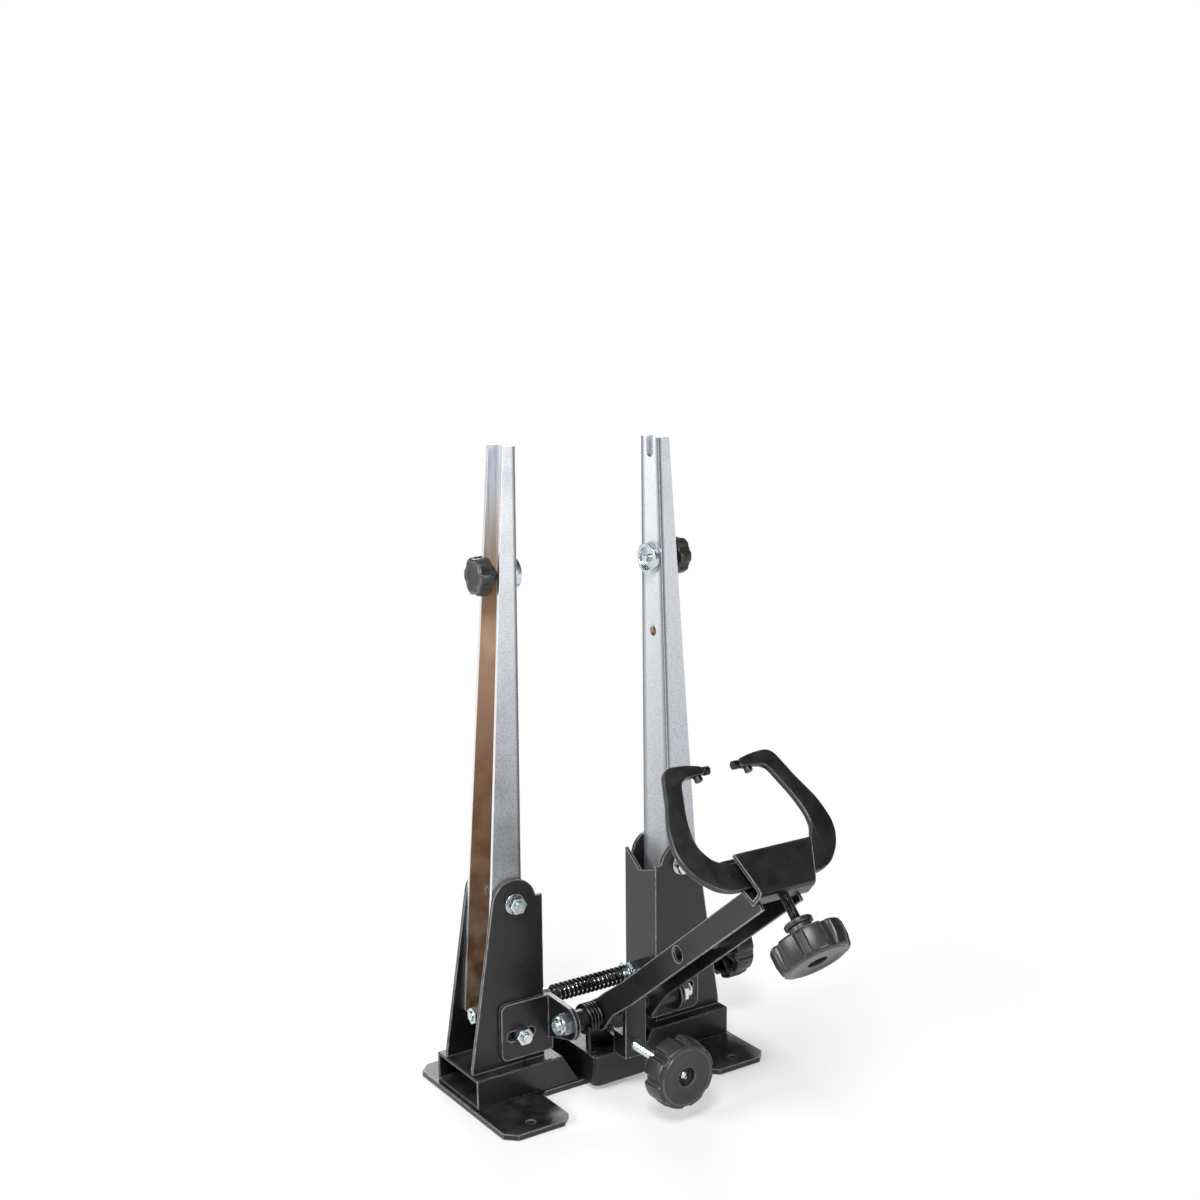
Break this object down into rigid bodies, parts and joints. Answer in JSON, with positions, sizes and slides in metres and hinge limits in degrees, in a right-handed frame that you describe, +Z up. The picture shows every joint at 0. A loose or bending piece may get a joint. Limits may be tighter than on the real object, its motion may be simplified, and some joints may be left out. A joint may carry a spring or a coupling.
{
  "type": "bicycle wheel truing stand",
  "caption": "Bench stand that holds a wheel between two tilting uprights over a flat foot, with a sloping arm that carries a pair of screw-set gauge jaws.",
  "frame": {"origin": "on the floor under the wheel axle, midway between the uprights", "axes": "+Z up, +X towards the width knob, -Y towards the arm"},
  "size_m": [0.29, 0.3875, 0.5322],
  "materials": {
    "black_powder_coat": "satin",
    "plated_steel": "satin",
    "zinc_plate": "bright",
    "black_plastic": "matte",
    "spring_steel": "oiled"
  },
  "bodies": {
    "base": {"base_plate": "black_powder_coat", "base_tube_left": "black_powder_coat", "base_tube_right": "black_powder_coat", "centre_box": "black_powder_coat", "stop_plate": "black_powder_coat", "bracket_left": "black_powder_coat", "bracket_right": "black_powder_coat", "slot_plate_left": "black_powder_coat", "slot_plate_right": "black_powder_coat", "slot_studs": "zinc_plate", "slot_nuts": "zinc_plate", "pivot_bolts": "zinc_plate", "pivot_washers": "zinc_plate", "pivot_nuts": "zinc_plate", "arm_shaft": "zinc_plate", "arm_shaft_nuts": "zinc_plate", "shaft_spacers": "black_powder_coat", "torsion_spring": "spring_steel", "width_washer": "zinc_plate", "width_spring": "spring_steel"},
    "width_screw": {"width_screw": "zinc_plate", "width_nuts": "zinc_plate", "width_sleeve": "zinc_plate", "width_knob": "black_plastic"},
    "upright_left": {"upright_left": "plated_steel", "ring_nut_left": "zinc_plate", "knob_spacer_left": "zinc_plate"},
    "upright_right": {"upright_right": "plated_steel", "ring_nut_right": "zinc_plate", "knob_spacer_right": "zinc_plate"},
    "trunnion_left": {"trunnion_left": "zinc_plate"},
    "trunnion_right": {"trunnion_right": "zinc_plate"},
    "small_knob_left": {"small_stud_left": "zinc_plate", "small_knob_left": "black_plastic"},
    "small_knob_right": {"small_stud_right": "zinc_plate", "small_knob_right": "black_plastic"},
    "arm": {"arm": "black_powder_coat", "screw_block": "black_powder_coat", "stop_pin": "zinc_plate", "housing": "black_powder_coat", "jaw_pins": "zinc_plate"},
    "height_tip": {"height_screw_tip": "zinc_plate"},
    "height_screw": {"height_screw": "zinc_plate", "height_knob": "black_plastic"},
    "jaw_left": {"jaw_left": "black_powder_coat", "jaw_tip_left": "spring_steel"},
    "jaw_right": {"jaw_right": "black_powder_coat", "jaw_tip_right": "spring_steel"},
    "caliper_cone": {"caliper_cone": "zinc_plate"},
    "caliper_screw": {"caliper_screw": "spring_steel", "caliper_knob": "black_plastic"}
  },
  "joints": [
    {"name": "upright_left_tilt", "type": "hinge", "parent": "base", "child": "upright_left", "pos_m": [-0.082, 0, 0.167], "axis": [0, 1, 0], "range_deg": [-2.8, 2.9]},
    {"name": "upright_right_tilt", "type": "hinge", "parent": "base", "child": "upright_right", "pos_m": [0.082, 0, 0.167], "axis": [0, 1, 0], "range_deg": [-3.01, 2.91]},
    {"name": "trunnion_left_turn", "type": "hinge", "parent": "upright_left", "child": "trunnion_left", "pos_m": [-0.088, 0, 0.07], "axis": [0, 1, 0], "range_deg": [-3.01, 2.91]},
    {"name": "trunnion_right_turn", "type": "hinge", "parent": "upright_right", "child": "trunnion_right", "pos_m": [0.088, 0, 0.07], "axis": [0, 1, 0], "range_deg": [-2.91, 3.01]},
    {"name": "width_screw_turn", "type": "hinge", "parent": "base", "child": "width_screw", "pos_m": [0, 0, 0.07], "axis": [1, 0, 0], "range_deg": [-580.27, 601]},
    {"name": "small_knob_left_turn", "type": "hinge", "parent": "upright_left", "child": "small_knob_left", "pos_m": [-0.1, 0, 0.431], "axis": [-1, 0, 0], "continuous": true},
    {"name": "small_knob_right_turn", "type": "hinge", "parent": "upright_right", "child": "small_knob_right", "pos_m": [0.1, 0, 0.431], "axis": [1, 0, 0], "continuous": true},
    {"name": "arm_swing", "type": "hinge", "parent": "base", "child": "arm", "pos_m": [0, -0.056, 0.069], "axis": [1, 0, 0], "range_deg": [-10, 12]},
    {"name": "height_screw_travel", "type": "slide", "parent": "arm", "child": "height_tip", "axis": [0, 1, 0], "range_m": [-0.00556, 0.00464]},
    {"name": "height_screw_turn", "type": "hinge", "parent": "height_tip", "child": "height_screw", "pos_m": [0, -0.1, 0.043], "axis": [0, 1, 0], "range_deg": [-1599.7, 1333.09]},
    {"name": "jaw_right_swing", "type": "hinge", "parent": "arm", "child": "jaw_right", "pos_m": [0.014, -0.24685, 0.24515], "axis": [0, 0.7071, -0.7071], "range_deg": [-6.5, 5]},
    {"name": "jaw_left_swing", "type": "hinge", "parent": "arm", "child": "jaw_left", "pos_m": [-0.014, -0.24685, 0.24515], "axis": [0, 0.7071, -0.7071], "range_deg": [-5.15, 6.68]},
    {"name": "caliper_cone_travel", "type": "slide", "parent": "arm", "child": "caliper_cone", "axis": [0, 0.7071, 0.7071], "range_m": [-0.00216, 0.00281]},
    {"name": "caliper_screw_turn", "type": "hinge", "parent": "caliper_cone", "child": "caliper_screw", "pos_m": [0, -0.28079, 0.21121], "axis": [0, 0.7071, 0.7071], "range_deg": [-622.25, 808.91]}
  ],
  "couplings": [
    {"joint": "upright_right_tilt", "follows": "upright_left_tilt", "ratio": -1},
    {"joint": "trunnion_left_turn", "follows": "upright_left_tilt", "ratio": -1},
    {"joint": "trunnion_right_turn", "follows": "upright_left_tilt", "ratio": 1},
    {"joint": "width_screw_turn", "follows": "upright_left_tilt", "ratio": 203.16},
    {"joint": "height_screw_travel", "follows": "arm_swing", "m_per_rad": -0.026},
    {"joint": "height_screw_turn", "follows": "arm_swing", "ratio": -130.69},
    {"joint": "jaw_left_swing", "follows": "jaw_right_swing", "ratio": -1},
    {"joint": "caliper_cone_travel", "follows": "jaw_right_swing", "m_per_rad": -0.0242},
    {"joint": "caliper_screw_turn", "follows": "jaw_right_swing", "ratio": -122}
  ]
}
